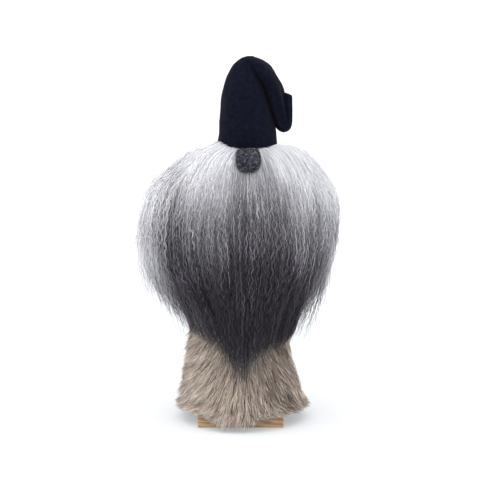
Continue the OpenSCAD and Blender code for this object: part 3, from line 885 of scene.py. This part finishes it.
# Fold and flap, and the end that turns up: [x, z of the edge on the crown's side, x, z of the
# outer edge, half width along Y]
FLAP = [[9.0, 400, 4.2, 406.2, 5.5], [11.4, 398, 10.6, 408.0, 10.5], [14, 395, 17.6, 406.9, 15],
        [16.2, 390, 24.8, 403.4, 17.5], [19.0, 386.5, 31.0, 398.8, 18.8],
        [22.0, 382, 36.6, 392.8, 19.4], [24.6, 377, 41.2, 385.0, 19.2],
        [26.8, 371.0, 44.6, 376.8, 18.2], [28.8, 364.4, 47.0, 369.0, 16.8],
        [30.6, 356.6, 48.9, 360.2, 15.2], [32.4, 348.0, 50.8, 351.2, 13.6],
        [34.4, 339.8, 51.8, 343.2, 12.2], [36.6, 333.2, 51.6, 338.2, 11.0],
        [40.2, 327.2, 51.2, 335.6, 10.0], [44.2, 324.6, 50.7, 334.4, 9.2],
        [47.8, 324.2, 50.4, 333.8, 8.4]]
TURNED = [[36.6, 336.8, 49.0, 341, 10.6], [38.6, 330.4, 49.4, 337, 10.2],
          [41.6, 325.6, 49.6, 335, 9.6], [45.4, 323.9, 49.6, 334.4, 9.3],
          [49.6, 323.8, 49.4, 334.2, 9.1], [53.4, 325.8, 48.8, 335.0, 8.9],
          [56.0, 329.8, 48.2, 337, 8.6], [57.0, 336, 47.8, 341, 8.2],
          [57.2, 344, 47.4, 347, 7.7], [56.8, 352, 47.0, 354, 7.1],
          [56.4, 358.6, 46.6, 361, 6.6], [56.4, 362.8, 46.6, 366.0, 6.0],
          [55.8, 364.6, 47.6, 367.6, 4.6]]
CREASE = np.array(FLAP)[:, :2]          # where the flap lies against the crown
CROWN_POINTS = 128                      # of a ring of the crown
SEAM = CROWN_POINTS // 4                # the one that the seam runs through, at the back


def crown_rings():
    """Outer surface of the crown, from the brim up."""
    sections = [[left, z, right, z, deep] for z, left, right, deep in CROWN]
    rings = hat_points(sections, seed=61, fold=0.55, n=CROWN_POINTS)
    rise = rings[..., 2] - BRIM_Z
    hang = 3.6 * smooth(HEAD_X, HEAD_X + BRIM_R, rings[..., 0]) * smooth(26, 0, rise)
    # The cloth is drawn in where the flap presses on it
    near = np.abs(rings[..., 0] - np.interp(-rings[..., 2], -CREASE[:, 1], CREASE[:, 0]))
    dent = 1.7 * bump(near, 0, 3.2) * smooth(2, 9, np.abs(rings[..., 1]))
    dent = dent * smooth(330, 350, rings[..., 2])
    return rings - hang[..., None] * np.array([0, 0, 1]) - dent[..., None] * outwards(rings)


def with_seam(rings):
    """The crown with its seam drawn in, and the outward directions of its points."""
    outward = outwards(rings)
    near = 1 - np.minimum(1, np.abs(np.arange(CROWN_POINTS) - SEAM) / 2)[None, :, None]
    return rings - 0.9 * near * outward, outward


def hem_and_lining(outer, thick=2.2):
    """Rings that turn in under the brim and go up inside the crown."""
    steps = [(1.0, 26.0), (1.0, 12.0), (1.0, 3.0), (0.9, 0.6), (0.6, -0.4), (0.25, -0.5)]
    inward = -thick * unit(outer[0] - outer[0].mean(0))
    return np.array([outer[0] + inward * share + [0, 0, rise] for share, rise in steps])


crown, outward = with_seam(crown_rings())
points, faces = closed_rings(np.concatenate([hem_and_lining(crown), crown]))
make_mesh("hat_crown", points, faces, BODY, "hat_cone", hat_paint)


def seam_stitches(rings, outward, pitch=4.5, half=2.4, thick=0.55):
    """Thread that crosses the seam in a slanting row of stitches."""
    length = distance_along(rings[:, SEAM][None])[0]
    at = np.arange(5, length[-1] - 6, pitch)
    middle, away = (np.stack([np.interp(at, length, seam[:, c]) for c in range(3)], -1)[:, None]
                    for seam in (rings[:, SEAM], outward[:, SEAM]))
    t = np.linspace(-1, 1, 12)[None, :, None]
    across = np.array([1.0, 0, 0.45])
    path = middle + across * half * t + away * (1.2 * (1 - t ** 2) + 0.4)
    radius = np.full(path.shape[:2], thick)
    flat = np.full(len(path), 0.5)
    return path, radius, flat, np.full(path.shape[:2], 0.5), away * np.ones_like(path)


points, faces, uv = tubes(*seam_stitches(crown, outward))
make_mesh("hat_seam_stitches", points, faces, BODY, "hat_seam_thread", thread_paint, uv)

rng = np.random.default_rng(66)
roots, normals = pick(rng, crown[:2], 420)
made = fuzz(rng, roots - [0, 0, 0.6], unit(normals * 0.35 - [0, 0, 1.0]), length=3.0,
            thick=0.12, lie=0.5)
hair_pieces("brim_fuzz", *made, "hat_cone", "hat_cloth", felt_fuzz_paint, made[0][:, 0, 0])


def ribbed(rings, ribs, high, start, twist=0.8):
    """Soft folds that run along a tube of cloth, from the share start of its length on."""
    turn = np.linspace(0, 2 * math.pi, rings.shape[1], endpoint=False)[None]
    down = np.linspace(0, 1, len(rings))[:, None]
    rib = np.cos(turn * ribs + twist * np.sin(down * 5)) * smooth(start, start + 0.4, down)
    return rings + outwards(rings) * (rib * high)[..., None]


# The rings of both pieces run downwards, so they are taken in reverse
flap = ribbed(hat_points(FLAP, seed=71, fold=0.6), ribs=6, high=1.25, start=0.3, twist=1.2)
points, faces = closed_rings(flap[::-1])
piece = make_mesh("hat_flap", points, faces, None, "hat_tip", hat_paint)
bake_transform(piece)

turned = ribbed(hat_points(TURNED, seed=81, fold=0.25, n=72), ribs=7, high=0.6, start=0.2)
points, faces = closed_rings(turned[::-1])
piece = make_mesh("hat_turned_end", points, faces, None, "hat_tip_end", hat_paint)
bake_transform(piece)


# ---- Floor, light and camera ----

HALF_FLOOR, FLOOR_Z = 20000, -0.2       # wide enough to have no edge in view

floor_paint, tree, principled = new_material("floor", Roughness=0.9, Specular_IOR_Level=0.0,
                                            Emission_Color=(0.86, 0.93, 1.0, 1),
                                            Emission_Strength=0.34)
plug(tree, principled, ramp(tree, spots(tree, 30.0), [(0.3, 0.55), (0.7, 0.555)]))
corners = np.array([[x * HALF_FLOOR, y * HALF_FLOOR, FLOOR_Z]
                    for x, y in [(-1, -1), (1, -1), (1, 1), (-1, 1)]])
piece = make_mesh("floor", corners, np.array([[0, 1, 2, 3]]), None, None, floor_paint)

world = bpy.data.worlds.new("studio")
bpy.context.scene.world = world
world.use_nodes = True
backdrop = world.node_tree.nodes["Background"].inputs
backdrop["Color"].default_value = (1, 1, 1, 1)
backdrop["Strength"].default_value = 1.05

# A wide soft light from above, in front and a little to the left
LIGHT_TURN, LIGHT_RISE, LIGHT_SPREAD = -15, 62, 80
light = bpy.data.lights.new("top_light", "SUN")
light.energy = 1.9
light.angle = math.radians(LIGHT_SPREAD)
lamp = bpy.data.objects.new("top_light", light)
bpy.context.scene.collection.objects.link(lamp)
lamp.rotation_euler = (math.radians(90 - LIGHT_RISE), 0, math.radians(LIGHT_TURN))

CAMERA_TILT = 12        # degrees downwards
camera = bpy.data.cameras.new("camera")
camera.lens = 181.6
camera.sensor_width = 36
camera.clip_end = 100
view = bpy.data.objects.new("camera", camera)
bpy.context.scene.collection.objects.link(view)
view.location = (0.0103, -2.7388, 0.7734)
view.rotation_euler = (math.radians(90 - CAMERA_TILT), 0, 0)
bpy.context.scene.camera = view
bpy.context.scene.view_settings.view_transform = "Standard"
